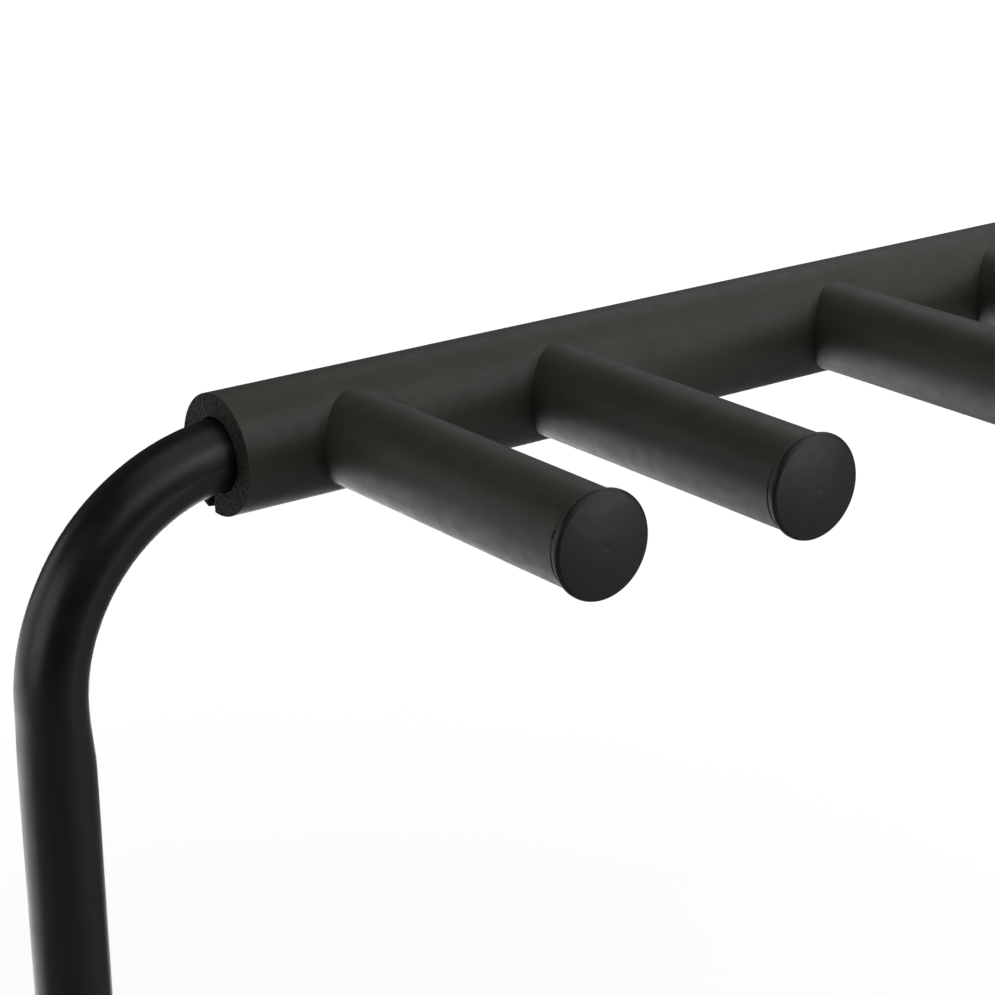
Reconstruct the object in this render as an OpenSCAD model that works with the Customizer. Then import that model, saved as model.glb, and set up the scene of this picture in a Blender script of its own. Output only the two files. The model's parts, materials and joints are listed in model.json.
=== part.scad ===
// Joist-mounted pull-up bar: a U-shaped tube with a long foam sleeve and four parallel foam grips,
// on two lower legs with bolt-on plates. It stands on its plates here, and hangs from them in use.
// +X runs along the bar, the handles point along -Y, and +Z points away from the mounting surface.
// The origin is on the mounting surface, midway between the two legs.

/* [Main tube] */
// Outer diameter of the main tube and the lower legs
tube_d = 30; // [28:0.5:32]
// Wall of the main tube and the lower legs
tube_wall = 2; // [1.5:0.1:2.5]
// Distance between the two legs, centre to centre
leg_spacing = 606; // [600:1:620]
// Distance from the mounting surface to the bar's axis
bar_drop = 500; // [460:5:600]
// Centre-line radius of the two bends
bend_r = 83.5; // [80:0.5:90]

/* [Bar sleeve] */
// Outer diameter of the foam sleeve on the bar
sleeve_d = 48.4; // [46:0.2:52]
// How far the sleeve reaches past the start of each bend
sleeve_over_bend = 8; // [3:0.5:9]
// Width of the slit that lets the sleeve close round the welded handles
sleeve_slit = 1; // [0.6:0.1:2]
// Angle of the slit from straight down, away from the handles
sleeve_slit_angle = 13; // [0:1:40]

/* [Handles] */
// Distance between the two inner handles
inner_pair_spacing = 151.5; // [140:0.5:160]
// Distance from each inner handle to the outer one beside it
side_pair_spacing = 98.5; // [90:0.5:104]
// Distance from the bar's axis to the outer face of an end cap
handle_reach = 172; // [150:1:190]
// Outer diameter of the handle tubes
stub_d = 25; // [22:0.5:26]
// Outer diameter of the foam grips
grip_d = 38.4; // [36:0.2:42]
// Outer diameter of the end caps
cap_d = 41; // [39:0.2:44]
// Thickness of an end cap's rim
cap_rim = 4; // [3.5:0.5:6]

/* [Legs and plates] */
// Distance from the mounting surface to the joint between main tube and lower leg
joint_height = 220; // [200:5:260]
// Length of the reduced end of the lower leg that slides into the main tube
swage_length = 60; // [56:1:70]
// Width of a mounting plate, along the bar
plate_x = 120; // [116:1:140]
// Length of a mounting plate, across the bar
plate_y = 220; // [216:1:250]
// Thickness of a mounting plate
plate_t = 5; // [4:0.5:8]
// Distance between the two joist holes of a plate, on its centre line
joist_hole_pitch = 170; // [160:1:176]
// Distance between the corner holes of a plate, along the bar
corner_pitch_x = 84; // [76:1:90]
// Distance between the corner holes of a plate, across the bar
corner_pitch_y = 184; // [180:1:190]
// Diameter of the mounting holes
mount_hole_d = 10.5; // [8.5:0.5:11]

/* [Fasteners] */
// Diameter of the joint bolts
bolt_d = 8; // [6:1:8]

/* [Hidden] */
$fn = 96;
fine_fn = 48;

tube_r = tube_d / 2;
bore_r = tube_r - tube_wall;
sleeve_r = sleeve_d / 2;
stub_r = stub_d / 2;
stub_bore_r = stub_r - tube_wall;
grip_r = grip_d / 2;
cap_r = cap_d / 2;
bolt_r = bolt_d / 2;

leg_x = leg_spacing / 2;
bend_x = leg_x - bend_r;
bend_z = bar_drop - bend_r;
sleeve_end_x = bend_x + sleeve_over_bend;
handle_x = [-inner_pair_spacing / 2 - side_pair_spacing, -inner_pair_spacing / 2,
            inner_pair_spacing / 2, inner_pair_spacing / 2 + side_pair_spacing];

// Clearance of the reduced leg end in the main tube's bore
swage_gap = 0.2;
swage_r = bore_r - swage_gap;
swage_bore_r = swage_r - tube_wall;
// Heights of the two bolts through each joint
joint_bolt_z = [joint_height + 15, joint_height + 45];

// Hexagon heads and nuts, in the usual proportions of their thread
head_across = bolt_d * 13 / 8;
head_t = bolt_d * 5.3 / 8;
nut_t = bolt_d * 6.5 / 8;
nut_dome_r = head_across / 2 - 0.7;
// Saddle washers: curved to the tube inside, flat outside
washer_r = bolt_d;
washer_face = tube_r + 2;

// Fillet welds
handle_weld = 3;
plate_weld = 5;
plate_corner_r = 12;

// Gussets between each lower leg and its plate
gusset_t = 5;
gusset_reach = 62;
gusset_h = 70;
gusset_nose = 10;
gusset_snipe = 7;

// Shank of an end cap, inside the handle tube
cap_shank_l = 20;
cap_edge = 1.5;

SIDES = [["left", -1], ["right", 1]];

// ---------- shared shapes ----------

// A cylinder along X from x0 to x1
module rod_x(r, x0, x1) {
    translate([x0, 0, 0]) rotate([0, 90, 0]) cylinder(r = r, h = x1 - x0);
}

// A cylinder along -Y, from distance y0 to distance y1 in front of the bar's axis
module rod_front(r, y0, y1) {
    translate([0, -y0, 0]) rotate([90, 0, 0]) cylinder(r = r, h = y1 - y0);
}

// The U of the main tube, or its bore, which runs past_end further out of both ends
module u_shape(r, past_end = 0) {
    translate([0, 0, bar_drop]) rod_x(r, -bend_x, bend_x);
    for (s = SIDES) {
        translate([s[1] * bend_x, 0, bend_z]) rotate([90, 0, 0])
            rotate([0, 0, s[1] > 0 ? 0 : 90])
            rotate_extrude(angle = 90) translate([bend_r, 0]) circle(r = r);
        translate([s[1] * leg_x, 0, joint_height - past_end])
            cylinder(r = r, h = bend_z - joint_height + past_end);
    }
}

// Handle parts are drawn about the point where the handle's axis meets the bar's axis
module at_handle(i) {
    translate([handle_x[i], 0, bar_drop]) children();
}

// Joint fasteners are drawn about the leg's axis, with the head outward, and mirrored
module at_joint_bolts() {
    for (s = SIDES, z = joint_bolt_z)
        translate([s[1] * leg_x, 0, z]) mirror([s[1] > 0 ? 0 : 1, 0, 0]) children();
}

// The space that a weld bead takes round the foot of a handle tube
module handle_weld_envelope() {
    intersection() {
        rod_front(stub_r + handle_weld, tube_r / 2, tube_r + handle_weld);
        rod_x(tube_r + handle_weld, -tube_d, tube_d);
    }
}

// ---------- bar and handles ----------

module grip_bar() color("#1b1b1c") {
    difference() {
        u_shape(tube_r);
        u_shape(bore_r, 1);
        at_joint_bolts() rod_x(bolt_r, -tube_r - 1, tube_r + 1);
    }
}

module bar_foam() color("#2b2b29") {
    difference() {
        translate([0, 0, bar_drop]) rod_x(sleeve_r, -sleeve_end_x, sleeve_end_x);
        u_shape(tube_r);
        for (i = [0:3]) at_handle(i) {
            rod_front(stub_r, 0, sleeve_r + 1);
            handle_weld_envelope();
        }
        translate([0, 0, bar_drop]) rotate([sleeve_slit_angle, 0, 0])
            translate([-sleeve_end_x - 1, -sleeve_slit / 2, -sleeve_r - 1])
            cube([2 * sleeve_end_x + 2, sleeve_slit, sleeve_r + 1]);
    }
}

module handle_tube(i) color("#1b1b1c") at_handle(i) {
    difference() {
        rod_front(stub_r, 0, handle_reach - cap_rim);
        rod_front(stub_bore_r, -1, handle_reach);
        rod_x(tube_r, -stub_d, stub_d);
    }
}

module handle_foam(i) color("#2b2b29") at_handle(i) {
    difference() {
        rod_front(grip_r, 0, handle_reach - cap_rim);
        rod_front(stub_r, -1, handle_reach);
        rod_x(sleeve_r, -sleeve_d, sleeve_d);
    }
}

// A push-in cap: a disc with rounded edges on a hollow shank
module handle_cap(i) color("#232324") at_handle(i) {
    shank_wall = 2.5;
    translate([0, -handle_reach + cap_rim, 0]) rotate([90, 0, 0]) rotate_extrude() {
        translate([stub_bore_r - shank_wall, -cap_shank_l]) square([shank_wall, cap_shank_l]);
        square([cap_r - cap_edge, cap_rim]);
        translate([0, cap_edge]) square([cap_r, cap_rim - 2 * cap_edge]);
        for (y = [cap_edge, cap_rim - cap_edge])
            translate([cap_r - cap_edge, y]) circle(r = cap_edge, $fn = fine_fn);
    }
}

module handle_welds() color("#1b1b1c") {
    for (i = [0:3]) at_handle(i) difference() {
        handle_weld_envelope();
        rod_x(tube_r, -tube_d, tube_d);
        rod_front(stub_r, 0, tube_d);
    }
}

// ---------- legs and plates ----------

module lower_leg(side) color("#1b1b1c") {
    top_z = joint_height + swage_length;
    shoulder_t = 4;
    difference() {
        translate([side * leg_x, 0, 0]) {
            translate([0, 0, plate_t]) cylinder(r = tube_r, h = joint_height - plate_t);
            translate([0, 0, plate_t]) cylinder(r = swage_r, h = top_z - plate_t);
        }
        translate([side * leg_x, 0, 0]) {
            translate([0, 0, plate_t - 1])
                cylinder(r = bore_r, h = joint_height - shoulder_t - plate_t + 1);
            cylinder(r = swage_bore_r, h = top_z + 1);
        }
        at_joint_bolts() rod_x(bolt_r, -tube_r - 1, tube_r + 1);
    }
}

module mount_plate(side) color("#1b1b1c") {
    corner_x = plate_x / 2 - plate_corner_r;
    corner_y = plate_y / 2 - plate_corner_r;
    translate([side * leg_x, 0, 0]) linear_extrude(plate_t) difference() {
        union() {
            square([2 * corner_x, plate_y], center = true);
            square([plate_x, 2 * corner_y], center = true);
            for (x = [-corner_x, corner_x], y = [-corner_y, corner_y])
                translate([x, y]) circle(r = plate_corner_r);
        }
        for (y = [-1, 1]) {
            translate([0, y * joist_hole_pitch / 2]) circle(d = mount_hole_d);
            for (x = [-1, 1])
                translate([x * corner_pitch_x / 2, y * corner_pitch_y / 2])
                    circle(d = mount_hole_d);
        }
    }
}

// Two upright triangles, in front of the leg and behind it, with the weld's corner cut away
module gussets(side) color("#1b1b1c") {
    for (front = [0, 1])
        translate([side * leg_x - gusset_t / 2, 0, plate_t]) mirror([0, front, 0])
            rotate([90, 0, 90]) linear_extrude(gusset_t) polygon([
                [tube_r + gusset_snipe, 0], [gusset_reach, 0], [gusset_reach, gusset_nose],
                [tube_r + gusset_nose, gusset_h], [tube_r, gusset_h], [tube_r, gusset_snipe]
            ]);
}

module plate_welds() color("#1b1b1c") {
    for (s = SIDES) translate([s[1] * leg_x, 0, plate_t]) rotate_extrude()
        polygon([[tube_r, 0], [tube_r + plate_weld, 0], [tube_r, plate_weld]]);
}

// ---------- joint fasteners ----------

module joint_bolts() color("#3a3a3c") at_joint_bolts() {
    translate([washer_face, 0, 0]) rotate([0, 90, 0])
        cylinder(d = head_across / cos(30), h = head_t, $fn = 6);
    rod_x(bolt_r, -washer_face - nut_t, washer_face);
}

module joint_washers() color("#3a3a3c") at_joint_bolts() {
    for (flip = [0, 1]) mirror([flip, 0, 0]) difference() {
        rod_x(washer_r, tube_r / 2, washer_face);
        translate([0, 0, -tube_r]) cylinder(r = tube_r, h = tube_d);
        rod_x(bolt_r, 0, washer_face + 1);
    }
}

// Domed nuts on the inner side of each leg
module joint_nuts() color("#3a3a3c") at_joint_bolts() difference() {
    union() {
        translate([-washer_face - nut_t, 0, 0]) rotate([0, 90, 0])
            cylinder(d = head_across / cos(30), h = nut_t, $fn = 6);
        translate([-washer_face - nut_t, 0, 0]) sphere(r = nut_dome_r);
    }
    rod_x(nut_dome_r + 1, -washer_face, 0);
    rod_x(bolt_r, -washer_face - nut_t, 0);
}

// ---------- one node at a time ----------

grip_bar();
bar_foam();
for (i = [0:3]) {
    handle_tube(i);
    handle_foam(i);
    handle_cap(i);
}
handle_welds();
for (s = SIDES) {
    lower_leg(s[1]);
    mount_plate(s[1]);
    gussets(s[1]);
}
plate_welds();
joint_bolts();
joint_washers();
joint_nuts();
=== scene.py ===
"""A joist-mounted pull-up bar in satin black tube, with a long foam sleeve and four foam grips."""
import json
import math

import bmesh
import bpy
from mathutils import Matrix, Vector, noise

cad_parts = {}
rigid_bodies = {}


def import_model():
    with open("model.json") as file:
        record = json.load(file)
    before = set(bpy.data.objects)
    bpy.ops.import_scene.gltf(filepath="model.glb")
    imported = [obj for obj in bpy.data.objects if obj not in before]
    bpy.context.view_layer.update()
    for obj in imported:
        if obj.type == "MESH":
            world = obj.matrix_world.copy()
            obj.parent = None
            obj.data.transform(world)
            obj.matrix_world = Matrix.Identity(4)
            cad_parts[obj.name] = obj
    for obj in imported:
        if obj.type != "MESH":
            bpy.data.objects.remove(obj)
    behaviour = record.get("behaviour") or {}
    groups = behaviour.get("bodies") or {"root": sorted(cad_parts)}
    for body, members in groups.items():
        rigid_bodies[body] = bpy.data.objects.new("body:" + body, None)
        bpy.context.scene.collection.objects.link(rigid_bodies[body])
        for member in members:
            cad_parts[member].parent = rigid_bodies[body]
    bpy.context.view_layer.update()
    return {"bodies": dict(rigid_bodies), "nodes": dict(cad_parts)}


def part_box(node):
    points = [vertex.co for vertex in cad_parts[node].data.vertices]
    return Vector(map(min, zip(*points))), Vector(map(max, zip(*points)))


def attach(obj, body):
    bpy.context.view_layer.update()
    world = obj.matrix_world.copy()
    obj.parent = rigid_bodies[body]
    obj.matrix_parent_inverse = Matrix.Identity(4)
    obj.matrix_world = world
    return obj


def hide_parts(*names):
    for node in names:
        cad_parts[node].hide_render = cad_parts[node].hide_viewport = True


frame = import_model()
BODY = next(iter(frame["bodies"]))
MM = 0.001

# ---------- sizes from the frame, and two that its boxes don't give ----------

FOAM_LOW, FOAM_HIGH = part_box("bar_foam")
BAR_LOW, BAR_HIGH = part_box("grip_bar")
BAR_Z = (FOAM_LOW[2] + FOAM_HIGH[2]) / 2
SLEEVE_R = (FOAM_HIGH[2] - FOAM_LOW[2]) / 2
SLEEVE_END = FOAM_HIGH[0]
TUBE_R = (BAR_HIGH[1] - BAR_LOW[1]) / 2
LEG_X = BAR_HIGH[0] - TUBE_R
TUBE_WALL = 2 * MM
SLEEVE_OVER_BEND = 8 * MM
BEND_X = SLEEVE_END - SLEEVE_OVER_BEND
BEND_R = LEG_X - BEND_X
HANDLES = [1, 2, 3, 4]


# ---------- mesh tools ----------

def add_piece(name, mesh, material, nodes=()):
    """A finished piece: smooth shaded, on the frame's body, standing for the CAD nodes."""
    piece = bpy.data.objects.new(name, mesh)
    bpy.context.collection.objects.link(piece)
    for mat in material if isinstance(material, list) else [material]:
        mesh.materials.append(mat)
    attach(piece, BODY)
    if nodes:
        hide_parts(*nodes)
    return piece


def finish_bmesh(bm, name, sharp_angle=35, rounding=()):
    """Turns a bmesh into a mesh with outward normals and marked sharp edges.

    rounding holds the faces of rounded edges: they are shaded apart from the faces beside them."""
    bmesh.ops.recalc_face_normals(bm, faces=bm.faces)
    for face in bm.faces:
        face.smooth = True
    limit = math.radians(sharp_angle)
    rounding = set(rounding)
    for edge in bm.edges:
        beside = sum(face in rounding for face in edge.link_faces) == 1
        edge.smooth = len(edge.link_faces) == 2 and edge.calc_face_angle(0) < limit and not beside
    mesh = bpy.data.meshes.new(name)
    bm.to_mesh(mesh)
    bm.free()
    return mesh


def loft(bm, rings, around=True, looped=True, material_of=None):
    """Quads between rings of equal length. looped joins the last ring to the first."""
    verts = [[bm.verts.new(p) for p in ring] for ring in rings]
    count = len(rings[0])
    for i in range(len(rings) if looped else len(rings) - 1):
        here, there = verts[i], verts[(i + 1) % len(rings)]
        for j in range(count if around else count - 1):
            k = (j + 1) % count
            face = bm.faces.new((here[j], here[k], there[k], there[j]))
            if material_of:
                face.material_index = material_of(i)
    return verts


def smoothstep(t):
    """A soft step from 0 to 1."""
    t = max(0.0, min(1.0, t))
    return t * t * (3 - 2 * t)


def span(low, high, count):
    """Evenly spaced values, both ends included."""
    return [low + (high - low) * i / (count - 1) for i in range(count)]


def turns(count):
    """Evenly spaced angles of one full turn, in radians."""
    return [2 * math.pi * k / count for k in range(count)]


def handle_ring(centre_x, r, y, angles):
    """A ring about a handle's axis. y is a number, or a function of the angle."""
    return [Vector((centre_x + r * math.cos(a), y(a) if callable(y) else y, BAR_Z + r * math.sin(a)))
            for a in angles]


# ---------- node material tools ----------

class Shader:
    """A small wrapper for building one node material."""

    def __init__(self, name):
        self.mat = bpy.data.materials.new(name)
        self.mat.use_nodes = True
        self.tree = self.mat.node_tree
        self.bsdf = self.tree.nodes["Principled BSDF"]
        coords = self.tree.nodes.new("ShaderNodeTexCoord")
        self.place = coords.outputs["Object"]

    def link(self, source, target):
        self.tree.links.new(source, target)

    def noise(self, scale, detail=3.0, roughness=0.5):
        node = self.tree.nodes.new("ShaderNodeTexNoise")
        node.inputs["Scale"].default_value = scale
        node.inputs["Detail"].default_value = detail
        node.inputs["Roughness"].default_value = roughness
        self.link(self.place, node.inputs["Vector"])
        return node.outputs["Fac"]

    def cells(self, scale):
        node = self.tree.nodes.new("ShaderNodeTexVoronoi")
        node.inputs["Scale"].default_value = scale
        self.link(self.place, node.inputs["Vector"])
        return node.outputs["Distance"]

    def remap(self, source, low, high, to_low, to_high):
        node = self.tree.nodes.new("ShaderNodeMapRange")
        self.link(source, node.inputs["Value"])
        for name, value in (("From Min", low), ("From Max", high), ("To Min", to_low), ("To Max", to_high)):
            node.inputs[name].default_value = value
        return node.outputs["Result"]

    def blend(self, factor, dark, light):
        node = self.tree.nodes.new("ShaderNodeMix")
        node.data_type = "RGBA"
        self.link(factor, node.inputs["Factor"])
        node.inputs["A"].default_value = (*dark, 1)
        node.inputs["B"].default_value = (*light, 1)
        return node.outputs["Result"]

    def bump(self, height, distance, strength, under=None):
        node = self.tree.nodes.new("ShaderNodeBump")
        node.inputs["Distance"].default_value = distance
        node.inputs["Strength"].default_value = strength
        self.link(height, node.inputs["Height"])
        if under:
            self.link(under, node.inputs["Normal"])
        return node.outputs["Normal"]

    def set(self, **values):
        for name, value in values.items():
            self.bsdf.inputs[name.replace("_", " ")].default_value = value


def foam_skin():
    """The foam's outer skin: matte, warm charcoal, with a fine closed-cell grain."""
    s = Shader("foam_skin")
    mottle = s.remap(s.noise(45, 4), 0.35, 0.65, 0, 1)
    s.link(s.blend(mottle, (0.0275, 0.0282, 0.0205), (0.0330, 0.0338, 0.0250)), s.bsdf.inputs["Base Color"])
    s.link(s.remap(s.noise(180, 3), 0.3, 0.7, 0.48, 0.58), s.bsdf.inputs["Roughness"])
    s.set(Specular_IOR_Level=0.5, Sheen_Weight=0.05, Sheen_Roughness=0.45)
    grain = s.bump(s.noise(2200, 2, 0.6), 0.00012, 0.35)
    s.link(s.bump(s.cells(900), 0.00015, 0.18, grain), s.bsdf.inputs["Normal"])
    return s.mat


def foam_cut():
    """A cut face of the foam, with its open cells, each coloured darker towards its hollow middle as
    painted shade.
    """
    s = Shader("foam_cut")
    # painted shade in the pores: the cell pattern of the cut face, with the hollows coloured darker than
    # the cell walls
    pores_and_shade = s.remap(s.cells(620), 0.1, 0.6, 0, 1)
    s.link(s.blend(pores_and_shade, (0.005, 0.005, 0.004), (0.027, 0.027, 0.021)), s.bsdf.inputs["Base Color"])
    s.set(Roughness=0.9, Specular_IOR_Level=0.25, Sheen_Weight=0.05, Sheen_Roughness=0.5)
    coarse = s.bump(s.cells(620), 0.0008, 0.9)
    s.link(s.bump(s.noise(1600, 3, 0.7), 0.0003, 0.6, coarse), s.bsdf.inputs["Normal"])
    return s.mat


def satin_paint():
    """Satin black paint with a light orange peel and faint rubbed patches."""
    s = Shader("satin_paint")
    tone = s.remap(s.noise(14, 3), 0.3, 0.7, 0, 1)
    s.link(s.blend(tone, (0.002, 0.002, 0.0022), (0.0045, 0.0045, 0.0049)), s.bsdf.inputs["Base Color"])
    rubbed = s.remap(s.noise(60, 6, 0.65), 0.35, 0.75, 0.31, 0.44)
    s.link(rubbed, s.bsdf.inputs["Roughness"])
    s.set(Specular_IOR_Level=0.52)
    peel = s.bump(s.noise(420, 2), 0.00012, 0.22)
    s.link(s.bump(s.noise(2600, 2), 0.00003, 0.25, peel), s.bsdf.inputs["Normal"])
    return s.mat


def cap_plastic():
    """Moulded black plastic, with a fine spark-eroded grain."""
    s = Shader("cap_plastic")
    tone = s.remap(s.noise(70, 4), 0.3, 0.7, 0, 1)
    s.link(s.blend(tone, (0.008, 0.008, 0.0083), (0.0112, 0.0112, 0.0115)), s.bsdf.inputs["Base Color"])
    s.link(s.remap(s.noise(130, 5, 0.6), 0.3, 0.7, 0.35, 0.46), s.bsdf.inputs["Roughness"])
    s.set(Specular_IOR_Level=0.42)
    grain = s.bump(s.noise(2400, 3, 0.6), 0.00008, 0.3)
    scuffs = s.remap(s.noise(230, 6, 0.75), 0.56, 0.7, 0, 1)
    s.link(s.bump(scuffs, 0.0001, 0.35, grain), s.bsdf.inputs["Normal"])
    return s.mat


def blackened_steel():
    """Oxide-blackened fasteners, with brighter worn patches."""
    s = Shader("blackened_steel")
    worn = s.remap(s.noise(190, 4, 0.6), 0.5, 0.8, 0, 1)
    s.link(s.blend(worn, (0.06, 0.06, 0.063), (0.11, 0.11, 0.115)), s.bsdf.inputs["Base Color"])
    s.link(s.remap(s.noise(400, 4), 0.3, 0.7, 0.34, 0.44), s.bsdf.inputs["Roughness"])
    s.set(Metallic=0.9)
    s.link(s.bump(s.noise(1500, 2), 0.00002, 0.2), s.bsdf.inputs["Normal"])
    return s.mat


SKIN, CUT, PAINT, PLASTIC, STEEL = foam_skin(), foam_cut(), satin_paint(), cap_plastic(), blackened_steel()


# ---------- the main tube ----------

BEND_SQUEEZE_IN = 1.7 * MM      # how far the bend's inner wall is pressed flat
BEND_SQUEEZE_OUT = 0.6 * MM     # and its outer wall
BEND_WIDEN = 0.5 * MM           # how far the bend's sides swell
RECOVERY = 26 * MM              # length over which the section is round again
LEG_STEPS, BEND_STEPS, BAR_STEPS = 64, 72, 40   # rings along the leg, round the bend and to the middle
TUBE_SIDES = 72


def tube_stations():
    """Points along the left half of the tube's centre line, from the foot up to the middle.

    Each is (centre, outward direction in the bend's plane, squeeze from 0 to 1)."""
    up, foot = Vector((0, 0, 1)), BAR_LOW[2]
    bend_z = BAR_Z - BEND_R
    out = []
    for z in span(foot, bend_z, LEG_STEPS)[:-1]:
        out.append((Vector((-LEG_X, 0, z)), Vector((-1, 0, 0)), smoothstep(1 - (bend_z - z) / RECOVERY)))
    for turn in span(0, math.pi / 2, BEND_STEPS):
        outward = Vector((-math.cos(turn), 0, math.sin(turn)))
        out.append((Vector((-BEND_X, 0, bend_z)) + BEND_R * outward, outward, 1.0))
    for x in span(-BEND_X, 0, BAR_STEPS)[1:]:
        out.append((Vector((x, 0, BAR_Z)), up, smoothstep(1 - (x + BEND_X) / (RECOVERY / 2))))
    return out


def tube_ring(station, inset):
    """A ring of the tube's wall, inset from its outside and pressed flat in the bends."""
    centre, outward, squeeze = station
    side = Vector((0, 1, 0))
    ring = []
    for a in turns(TUBE_SIDES):
        c, s = math.cos(a), math.sin(a)
        pressed = BEND_SQUEEZE_OUT if c > 0 else BEND_SQUEEZE_IN
        in_plane = TUBE_R - inset - squeeze * pressed
        across = TUBE_R - inset + squeeze * BEND_WIDEN * (1 - abs(c))
        ring.append(centre + outward * (in_plane * c) + side * (across * s))
    return ring


def main_tube():
    """The U-shaped tube, outside and bore, swept along its centre line."""
    left = tube_stations()
    right = [(Vector((-c.x, c.y, c.z)), Vector((-o.x, o.y, o.z)), q) for c, o, q in reversed(left[:-1])]
    path = left + right
    outer = [tube_ring(s, 0) for s in path]
    inner = [tube_ring(s, TUBE_WALL) for s in reversed(path)]
    bm = bmesh.new()
    loft(bm, outer + inner)
    return add_piece("main_tube", finish_bmesh(bm, "main_tube"), PAINT, ["grip_bar"])


# ---------- the sleeve ----------

SLIT_ANGLE = math.radians(13)   # from straight down, away from the handles
SLIT_HALF = 0.3 * MM            # half the slit's width where it is closed
TEAR_HALF = 2.4 * MM            # half its width where the left end is torn open
TEAR_LENGTH = 9 * MM
FLAKE_LEAN = math.radians(7)    # from the middle of the slit
FLAKE_OUT = 0.1 * MM            # how far the flake stands out from the sleeve's end
FLAKE_SHORT = 0.8 * MM          # how far its tip stays inside the sleeve's surface
FLAKE_SIZE = 1.1 * MM           # its radius at the root
FLAKE_TIP = 0.08 * MM           # and at the tip
FLAKE_BEND = 0.3 * MM           # how far it curls sideways
FLAKE_SIDES, FLAKE_STEPS = 8, 8
END_ROUND = 0.4 * MM
PRESS_DEPTH = 0.7 * MM          # how far a grip's foot presses into the sleeve
PRESS_WIDTH = 2.2 * MM
SLEEVE_UNEVEN = (35 * MM, 0.14 * MM)    # length and depth of the sleeve's unevenness
CUT_ROUGH = ((1.6 * MM, 0.3 * MM), (5 * MM, 0.2 * MM))  # the same for its cut ends, fine and coarse
SLEEVE_SIDES, SLEEVE_STEPS = 200, 300   # faces round the sleeve, and rings along its middle
FINE_LENGTH, FINE_STEPS = 12 * MM, 12   # rings close to each end, where the tear is
CUT_FROM = 0.7                  # radians into the end's rounding where the skin ends and the cut begins


def uneven(point, size, amount):
    """A smooth unevenness that only ever goes inward."""
    return amount * (noise.noise(point / size) - 1) / 2


def grip_feet():
    """Each grip's place along the bar, and its radius."""
    feet = []
    for i in HANDLES:
        low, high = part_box(f"handle_foam_{i}")
        feet.append(((low[0] + high[0]) / 2, (high[0] - low[0]) / 2))
    return feet


FEET = grip_feet()


def press_in(x, y, z):
    """The dent that the nearest grip's foot makes at a point of the sleeve's surface."""
    if y > 0:
        return 0.0
    dent = 0.0
    for foot_x, foot_r in FEET:
        off = math.hypot(x - foot_x, z) - foot_r
        dent = max(dent, PRESS_DEPTH * math.exp(-(off / PRESS_WIDTH) ** 2))
    return dent


def sleeve_profile():
    """The closed outline (x, radius, is_cut) of the sleeve's wall."""
    bore = TUBE_R
    wall = SLEEVE_R - bore
    near_ends = span(0, FINE_LENGTH, FINE_STEPS)
    middle = SLEEVE_END - FINE_LENGTH - 1 * MM
    body = span(-middle, middle, SLEEVE_STEPS)
    xs = [-SLEEVE_END + END_ROUND + d for d in near_ends] + body
    xs += [SLEEVE_END - END_ROUND - d for d in reversed(near_ends)]
    outer = [(x, SLEEVE_R, False) for x in xs]
    steps = span(0, math.pi / 2, 6)
    right = [(SLEEVE_END - END_ROUND * (1 - math.sin(a)), SLEEVE_R - END_ROUND * (1 - math.cos(a)),
              a > CUT_FROM) for a in steps[1:]]
    face = [(SLEEVE_END, SLEEVE_R - END_ROUND - (wall - END_ROUND) * t, True) for t in span(0, 1, 14)[1:]]
    inner = [(x, bore, False) for x in span(SLEEVE_END - 1 * MM, -SLEEVE_END + 1 * MM, 24)]
    mirrored = [(-x, r, cut) for x, r, cut in reversed(right + face)]
    return outer + right + face + inner + mirrored


def sleeve():
    """The foam sleeve: slit along its length, torn open at its left end."""
    profile = sleeve_profile()
    around = SLEEVE_SIDES
    rings, cuts = [], []
    for x, r, cut in profile:
        tear = smoothstep(1 - (x + SLEEVE_END) / TEAR_LENGTH)
        half = (SLIT_HALF + (TEAR_HALF - SLIT_HALF) * tear * (r / SLEEVE_R) ** 3) / r
        ring = []
        for j in range(around + 1):
            a = half + (2 * math.pi - 2 * half) * j / around
            y, z = math.sin(SLIT_ANGLE + a), -math.cos(SLIT_ANGLE + a)
            p = Vector((x, y * r, z * r))
            dip = 0.0
            if r > TUBE_R + 0.1 * MM:
                dip = uneven(p, *SLEEVE_UNEVEN) - press_in(p.x, p.y, p.z)
            along = 0.0
            if cut:
                rough = sum(uneven(p, *grain) for grain in CUT_ROUGH)
                along = -math.copysign(1, x) * abs(rough)
            ring.append(Vector((x + along, y * (r + dip), BAR_Z + z * (r + dip))))
        rings.append(ring)
        cuts.append(cut)
    bm = bmesh.new()
    loft(bm, rings, around=False, material_of=lambda i: 1 if cuts[i] else 0)
    bm.verts.ensure_lookup_table()
    width, count = around + 1, len(rings)
    for j in (0, around):
        slit_face = bm.faces.new([bm.verts[i * width + j] for i in range(count)])
        slit_face.material_index = 1
    torn_flake(bm)
    mesh = finish_bmesh(bm, "bar_sleeve", 50)
    piece = add_piece("bar_sleeve", mesh, [SKIN, CUT], ["bar_foam"])
    return piece


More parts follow.
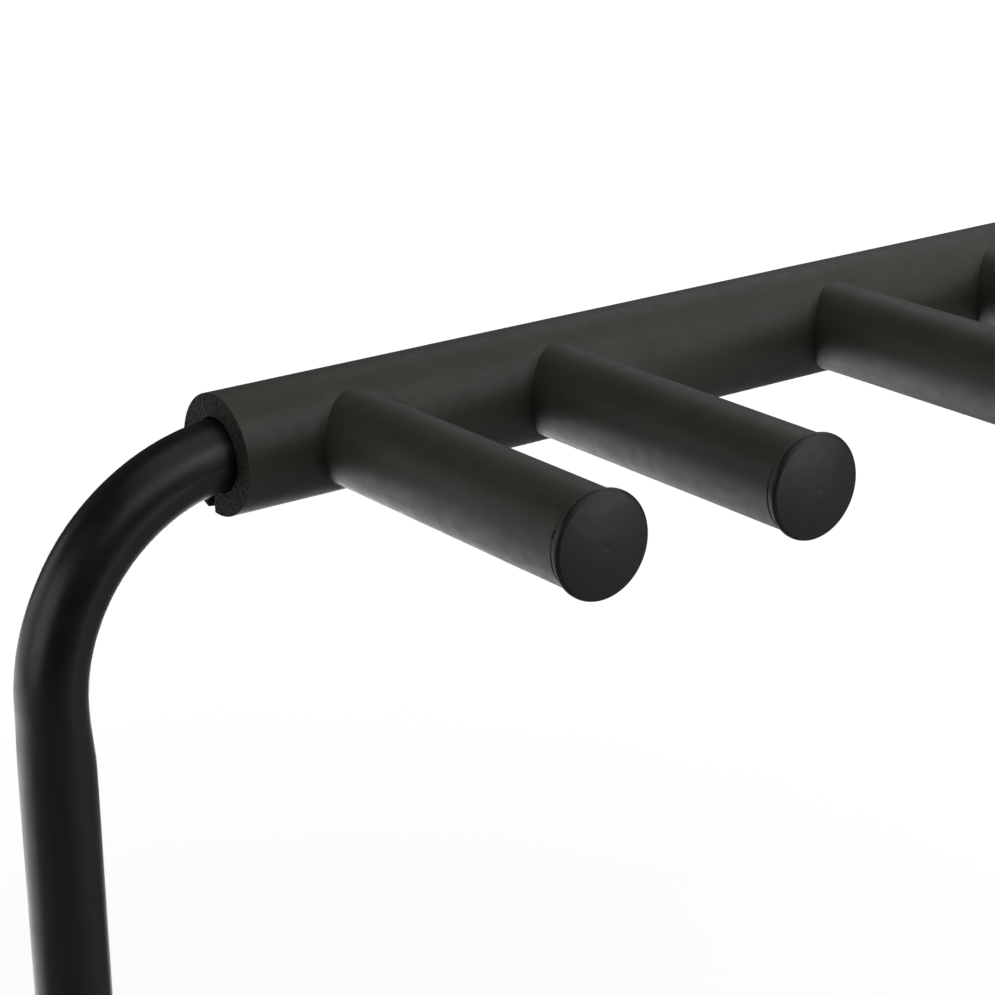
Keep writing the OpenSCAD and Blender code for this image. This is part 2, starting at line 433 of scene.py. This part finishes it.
def torn_flake(bm):
    """A little pointed flake of foam that hangs from the tube beside the torn end of the slit."""
    lean = SLIT_ANGLE + FLAKE_LEAN
    down = Vector((0, math.sin(lean), -math.cos(lean)))
    across = Vector((0, math.cos(lean), math.sin(lean)))
    along = Vector((1, 0, 0))
    root = Vector((-SLEEVE_END - FLAKE_OUT, 0, BAR_Z))
    rings = []
    for t in span(0, 1, FLAKE_STEPS):
        reach = TUBE_R + (SLEEVE_R - TUBE_R - FLAKE_SHORT) * t
        size = FLAKE_SIZE * (1 - t) ** 0.8 + FLAKE_TIP
        wobble = FLAKE_BEND * math.sin(5 * t)
        rings.append([root + down * reach + across * (size * math.cos(a) + wobble)
                      + along * size * math.sin(a) for a in turns(FLAKE_SIDES)])
    verts = loft(bm, rings, looped=False, material_of=lambda i: 1)
    for end in (verts[0], verts[-1]):
        bm.faces.new(end).material_index = 1


# ---------- the grips and their caps ----------

CAP_GAP = 0.35 * MM             # the dark hairline between a grip and its cap
GRIP_ROUND = 0.8 * MM
CAP_DOME = 1.5 * MM             # how far a cap's middle stands out from its rim
CREASE_FROM_END = 2.3 * MM      # a fine ring where the foam is pushed up by the cap
CREASE_DEPTH = 0.35 * MM
CREASE_HALF = 0.3 * MM
PITS = [(2.5 * MM, 156.4), (2.4 * MM, 161.6)]   # on the first grip: distance from its end, degrees round
PIT_SIZE = 0.5 * MM
PIT_DEPTH = 1.6 * MM
GRIP_UNEVEN = (30 * MM, 0.12 * MM)      # length and depth of the grips' unevenness
GRIP_SIDES, GRIP_STEPS = 240, 60
CAP_EDGE, CAP_EDGE_DEEP = 2.0 * MM, 1.6 * MM    # width and depth of a cap's rounded rim
CAP_CHAMFER = 0.5 * MM          # on the rim's back edge
GATE_R, GATE_DEEP = 1.5 * MM, 0.08 * MM         # the mould's gate mark in the middle
CAP_SIDES = 128
CAP_CENTRE = 0.2 * MM           # radius of the flat spot that closes each end of a cap


def grip(i):
    """A foam grip: coped to the sleeve at its foot, rounded and creased beside its cap."""
    low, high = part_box(f"handle_foam_{i}")
    tube_low, tube_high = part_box(f"handle_tube_{i}")
    centre_x = (low[0] + high[0]) / 2
    r_out = (high[0] - low[0]) / 2
    r_in = (tube_high[0] - tube_low[0]) / 2
    end_y = low[1] + CAP_GAP

    def foot_y(r, a):
        return -math.sqrt((SLEEVE_R - PRESS_DEPTH) ** 2 - (r * math.sin(a)) ** 2)

    def surface_r(distance):
        """Radius at a distance from the cap's end."""
        round_off = GRIP_ROUND * (1 - math.sqrt(max(0.0, 1 - max(0.0, 1 - distance / GRIP_ROUND) ** 2)))
        crease = CREASE_DEPTH * math.exp(-((distance - CREASE_FROM_END) / CREASE_HALF) ** 2)
        return r_out - round_off - crease

    def skin_point(y, a):
        r = surface_r(y - end_y)
        p = Vector((centre_x + r * math.cos(a), y, r * math.sin(a)))
        r += uneven(p, *GRIP_UNEVEN)
        if i == 1:
            for from_end, degrees in PITS:
                away = math.hypot(y - end_y - from_end, r_out * (a - math.radians(degrees)))
                r -= PIT_DEPTH * math.exp(-(away / PIT_SIZE) ** 2)
        return Vector((centre_x + r * math.cos(a), y, BAR_Z + r * math.sin(a)))

    angles = turns(GRIP_SIDES)
    near_cap = [d * MM for d in (0, 0.1, 0.25, 0.45, 0.8)] + span(1.2 * MM, 7 * MM, 40)
    start = end_y + near_cap[-1]
    points = [[skin_point(end_y + d, a) for a in angles] for d in near_cap]
    for t in span(0, 1, GRIP_STEPS)[1:]:
        points.append([skin_point(start + (foot_y(r_out, a) - start) * t, a) for a in angles])
    cuts = [0] * len(points)
    for r in span(r_out, r_in, 5)[1:]:
        points.append(handle_ring(centre_x, r, lambda a: foot_y(r, a), angles))
        cuts.append(1)
    for r in span(r_in, r_out - GRIP_ROUND, 5):
        points.append(handle_ring(centre_x, r, end_y, angles))
        cuts.append(1)
    bm = bmesh.new()
    loft(bm, points, material_of=lambda k: cuts[k])
    mesh = finish_bmesh(bm, f"grip_{i}", 50)
    piece = add_piece(f"grip_{i}", mesh, [SKIN, CUT], [f"handle_foam_{i}"])
    return piece


def cap(i):
    """A moulded cap: a slightly domed face, a rounded rim and a shallow gate mark."""
    low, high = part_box(f"handle_cap_{i}")
    tube_low, tube_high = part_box(f"handle_tube_{i}")
    centre_x = (low[0] + high[0]) / 2
    r = (high[0] - low[0]) / 2
    face_y = low[1]
    seat_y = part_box(f"handle_foam_{i}")[0][1]
    shank_r = (tube_high[0] - tube_low[0]) / 2 - TUBE_WALL

    def face_depth(radius):
        gate = GATE_DEEP * math.exp(-(radius / GATE_R) ** 4)
        return gate + CAP_DOME * (radius / (r - CAP_EDGE)) ** 2

    rim = [(r - CAP_EDGE + CAP_EDGE * math.sin(a), face_y + CAP_DOME + CAP_EDGE_DEEP * (1 - math.cos(a)))
           for a in span(0, math.pi / 2, 14)]
    face = [(radius, face_y + face_depth(radius)) for radius in span(CAP_CENTRE, r - CAP_EDGE, 60)[:-1]]
    back = [(r, seat_y - CAP_CHAMFER), (r - CAP_CHAMFER, seat_y), (shank_r, seat_y)]
    shank = [(shank_r, high[1] - 1 * MM), (shank_r - 1 * MM, high[1])]
    profile = face + rim + back + shank + [(CAP_CENTRE, high[1])]
    rings = [handle_ring(centre_x, radius, y, turns(CAP_SIDES)) for radius, y in profile]
    bm = bmesh.new()
    verts = loft(bm, rings, looped=False)
    bm.faces.new(verts[0])
    bm.faces.new(verts[-1])
    mesh = finish_bmesh(bm, f"end_cap_{i}", 40)
    return add_piece(f"end_cap_{i}", mesh, PLASTIC, [f"handle_cap_{i}"])


# ---------- plates, legs and fasteners ----------

MERGE_GAP = 0.005 * MM          # points of a CAD mesh closer than this are one point
FLAT_ANGLE = math.radians(0.6)  # faces that meet flatter than this are one face
HARD_ANGLE = math.radians(40)   # edges sharper than this are rounded off
WELD_RIPPLE = 1.5 * MM          # length of one ripple of a bead
WELD_SWELL = 0.1                # and how much it swells, as a share of the bead
WELD_SIDES = 14
FOOT_BEAD_SHARE = 0.52          # the bead round a leg, as a share of the CAD weld's height
FOOT_BEAD_OUT, FOOT_BEAD_UP = 0.8 * MM, 0.6 * MM    # its middle, from the tube and from the plate
GUSSET_BEAD = 2.0 * MM
GUSSET_BEAD_START = 9 * MM      # clear of the bead round the leg

def softened(node, name, material, width):
    """A copy of a CAD node with its hard edges rounded off."""
    bm = bmesh.new()
    bm.from_mesh(frame["nodes"][node].data)
    bm.transform(frame["nodes"][node].matrix_world)
    bmesh.ops.remove_doubles(bm, verts=bm.verts, dist=MERGE_GAP)
    bmesh.ops.dissolve_limit(bm, angle_limit=FLAT_ANGLE, verts=bm.verts, edges=bm.edges)
    hard = [e for e in bm.edges if len(e.link_faces) == 2 and e.calc_face_angle(0) > HARD_ANGLE]
    rounded = bmesh.ops.bevel(bm, geom=hard, offset=width, segments=3, profile=0.5, affect="EDGES",
                              clamp_overlap=True)["faces"]
    return add_piece(name, finish_bmesh(bm, name, 30, rounded), material, [node])


def weld_bead(bm, path, size, closed):
    """A bead with the overlapping ripples of a hand-laid weld. path gives (point, side, up)."""
    rings = []
    length = 0.0
    for n, (point, side, up) in enumerate(path):
        if n:
            length += (point - path[n - 1][0]).length
        swell = 1 + WELD_SWELL * (1 - abs(math.sin(math.pi * length / WELD_RIPPLE)) ** 0.6)
        fade = 1.0 if closed else math.sin(math.pi * min(1, 0.15 + n / len(path)) ** 0.5) ** 0.25
        r = size * swell * max(0.35, fade)
        rings.append([point + side * r * math.cos(a) + up * r * math.sin(a) for a in turns(WELD_SIDES)])
    verts = loft(bm, rings, looped=closed)
    if not closed:
        bm.faces.new(verts[0])
        bm.faces.new(verts[-1])


def plate_welds():
    """Beads round the legs' feet and along the gussets."""
    plate_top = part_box("mount_plate_left")[1][2]
    weld_low, weld_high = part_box("plate_welds")
    bead = (weld_high[2] - weld_low[2]) * FOOT_BEAD_SHARE
    up = Vector((0, 0, 1))
    bm = bmesh.new()
    for side in (-1, 1):
        foot = Vector((side * LEG_X, 0, plate_top + FOOT_BEAD_UP))
        ring = []
        for a in turns(360):
            out = Vector((math.cos(a), math.sin(a), 0))
            ring.append((foot + out * (TUBE_R + FOOT_BEAD_OUT), out, up))
        weld_bead(bm, ring, bead, True)
        gusset_low, gusset_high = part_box("gussets_left" if side < 0 else "gussets_right")
        half = (gusset_high[0] - gusset_low[0]) / 2
        for front in (-1, 1):
            for face in (-1, 1):
                out = Vector((face, 0, 0))
                start, stop = TUBE_R + GUSSET_BEAD_START, gusset_high[1] - 1 * MM
                line = [(Vector((side * LEG_X + face * half, front * y, plate_top)), out, up)
                        for y in span(start, stop, 120)]
                weld_bead(bm, line, GUSSET_BEAD, False)
    return add_piece("plate_welds_bead", finish_bmesh(bm, "plate_welds_bead", 60), PAINT,
                     ["plate_welds"])


def hardware():
    """Plates, gussets, legs and fasteners. The hidden handle tubes and welds stay as they are."""
    for side in ("left", "right"):
        softened(f"mount_plate_{side}", f"ceiling_plate_{side}", PAINT, 0.6 * MM)
        softened(f"gussets_{side}", f"gusset_pair_{side}", PAINT, 0.5 * MM)
        softened(f"lower_leg_{side}", f"leg_{side}", PAINT, 0.4 * MM)
    softened("joint_bolts", "hex_bolts", STEEL, 0.45 * MM)
    softened("joint_nuts", "domed_nuts", STEEL, 0.3 * MM)
    softened("joint_washers", "saddle_washers", STEEL, 0.25 * MM)
    for node in [f"handle_tube_{i}" for i in HANDLES] + ["handle_welds"]:
        for entry in frame["nodes"][node].material_slots:
            entry.material = PAINT


# ---------- the stage ----------

FLOOR_SIZE = 60
FLOOR_DROP = 0.2 * MM           # below the plates, so that the faces don't meet
FLOOR_GLOW_NEAR = 0.76          # how strongly the floor near the part glows to the camera
FLOOR_GLOW_FAR = 1.0
NEAR_REACH, FAR_REACH = 0.5, 2.2        # distances over which the glow grows from near to far
SKY_TO_CAMERA = 1.0
SKY_FILL = 0.055


def floor():
    """A plain pale floor that glows to the camera only, so that it looks white but lights nothing."""
    bpy.ops.mesh.primitive_plane_add(size=FLOOR_SIZE, location=(0, 0, -FLOOR_DROP))
    plane = bpy.context.object
    plane.name = "floor"
    mat = bpy.data.materials.new("pale_floor")
    mat.use_nodes = True
    nodes, links = mat.node_tree.nodes, mat.node_tree.links
    bsdf = nodes["Principled BSDF"]
    bsdf.inputs["Base Color"].default_value = (0.5, 0.5, 0.5, 1)
    bsdf.inputs["Roughness"].default_value = 0.95
    bsdf.inputs["Specular IOR Level"].default_value = 0.1
    bsdf.inputs["Emission Color"].default_value = (1, 1, 1, 1)
    spot = nodes.new("ShaderNodeNewGeometry")
    reach = nodes.new("ShaderNodeVectorMath")
    reach.operation = "LENGTH"
    links.new(spot.outputs["Position"], reach.inputs[0])
    far = nodes.new("ShaderNodeMapRange")
    for name, value in (("From Min", NEAR_REACH), ("From Max", FAR_REACH), ("To Min", FLOOR_GLOW_NEAR),
                        ("To Max", FLOOR_GLOW_FAR)):
        far.inputs[name].default_value = value
    links.new(reach.outputs["Value"], far.inputs["Value"])
    path = nodes.new("ShaderNodeLightPath")
    glow = nodes.new("ShaderNodeMath")
    glow.operation = "MULTIPLY"
    links.new(path.outputs["Is Camera Ray"], glow.inputs[0])
    links.new(far.outputs["Result"], glow.inputs[1])
    links.new(glow.outputs["Value"], bsdf.inputs["Emission Strength"])
    plane.data.materials.append(mat)


def surroundings():
    """White to the eye, and a weak even fill for the object."""
    world = bpy.data.worlds.new("studio")
    bpy.context.scene.world = world
    world.use_nodes = True
    nodes, links = world.node_tree.nodes, world.node_tree.links
    sky = nodes["Background"]
    sky.inputs["Color"].default_value = (1, 1, 1, 1)
    path = nodes.new("ShaderNodeLightPath")
    level = nodes.new("ShaderNodeMapRange")
    level.inputs["To Min"].default_value = SKY_FILL
    level.inputs["To Max"].default_value = SKY_TO_CAMERA
    links.new(path.outputs["Is Camera Ray"], level.inputs["Value"])
    links.new(level.outputs["Result"], sky.inputs["Strength"])


def softbox(name, place, aim, size, watts):
    """A rectangular lamp that the camera doesn't see."""
    data = bpy.data.lights.new(name, "AREA")
    data.shape = "RECTANGLE"
    data.size, data.size_y = size
    data.energy = watts
    lamp = bpy.data.objects.new(name, data)
    lamp.location = place
    lamp.rotation_euler = (Vector(aim) - Vector(place)).to_track_quat("-Z", "Y").to_euler()
    lamp.visible_camera = False
    bpy.context.collection.objects.link(lamp)


LAMPS = [   # name, place, width and height, watts; each faces the middle of the bar
    ("top", (0, 0, 2.2), (1.5, 1.5), 3.6),
    ("right_top", (1.6, 0, 1.6), (1.0, 0.8), 3.6),
    ("right_back", (1.2, 1.0, 1.6), (1.0, 0.8), 2.6),
    ("right_front", (1.15, -1.35, 1.0), (0.8, 0.6), 2.1),
    ("right_low", (0.9, -1.7, 0.5), (1.0, 0.8), 5.8),
    ("key", (0.75, -1.15, 1.75), (1.3, 1.1), 7.2),
    ("front_top", (-0.3, -1.3, 1.9), (1.2, 1.0), 3.9),
    ("left", (-1.9, 0.1, 0.8), (1.2, 1.2), 6.0),
    ("back_left", (-1.4, 1.6, 0.7), (1.4, 1.2), 4.6),
]
GLOWS = [   # name, x and y on the floor, width and depth, watts; each faces straight up
    ("glow_behind_right", (0.6, 1.3), (1.2, 1.3), 32),
    ("glow_behind_left", (-0.6, 1.3), (1.6, 1.3), 9.5),
    ("glow_near_left", (-1.0, 0.55), (0.8, 0.6), 1.5),
    ("glow_near_middle", (-0.2, 0.55), (0.8, 0.6), 2.6),
]
GLOW_Z = 0.02


def lights():
    """Soft lamps round the bar, and low ones that stand in for light coming off the floor."""
    for name, place, size, watts in LAMPS:
        softbox(name, place, (0, 0, BAR_Z), size, watts)
    for name, (x, y), size, watts in GLOWS:
        softbox(name, (x, y, GLOW_Z), (x, y, 1), size, watts)


VIEW_AZIMUTH, VIEW_ELEVATION, VIEW_ROLL = 35.956, 19.248, 0.923     # degrees
VIEW_AIM = Vector((-0.1442, -0.0671, BAR_Z - 0.0170))
VIEW_DISTANCE = 1.0805
VIEW_LENS, VIEW_SENSOR = 102.79, 36     # millimetres


def camera():
    """The camera looks at the left half of the bar from the front left, a little from above."""
    azimuth, elevation, roll = (math.radians(d) for d in (VIEW_AZIMUTH, VIEW_ELEVATION, VIEW_ROLL))
    forward = Vector((math.sin(azimuth) * math.cos(elevation), math.cos(azimuth) * math.cos(elevation),
                      -math.sin(elevation)))
    level_right = Vector((math.cos(azimuth), -math.sin(azimuth), 0))
    level_down = forward.cross(level_right)
    right = level_right * math.cos(roll) + level_down * math.sin(roll)
    up = right.cross(forward)
    data = bpy.data.cameras.new("view")
    data.sensor_width = VIEW_SENSOR
    data.lens = VIEW_LENS
    data.clip_start = 0.02
    view = bpy.data.objects.new("view", data)
    axes = Matrix((right, up, -forward)).transposed()
    view.matrix_world = Matrix.Translation(VIEW_AIM - forward * VIEW_DISTANCE) @ axes.to_4x4()
    bpy.context.collection.objects.link(view)
    bpy.context.scene.camera = view


camera()
main_tube()
sleeve()
for number in HANDLES:
    grip(number)
    cap(number)
plate_welds()
hardware()
floor()
surroundings()
lights()
bpy.context.scene.view_settings.view_transform = "Standard"
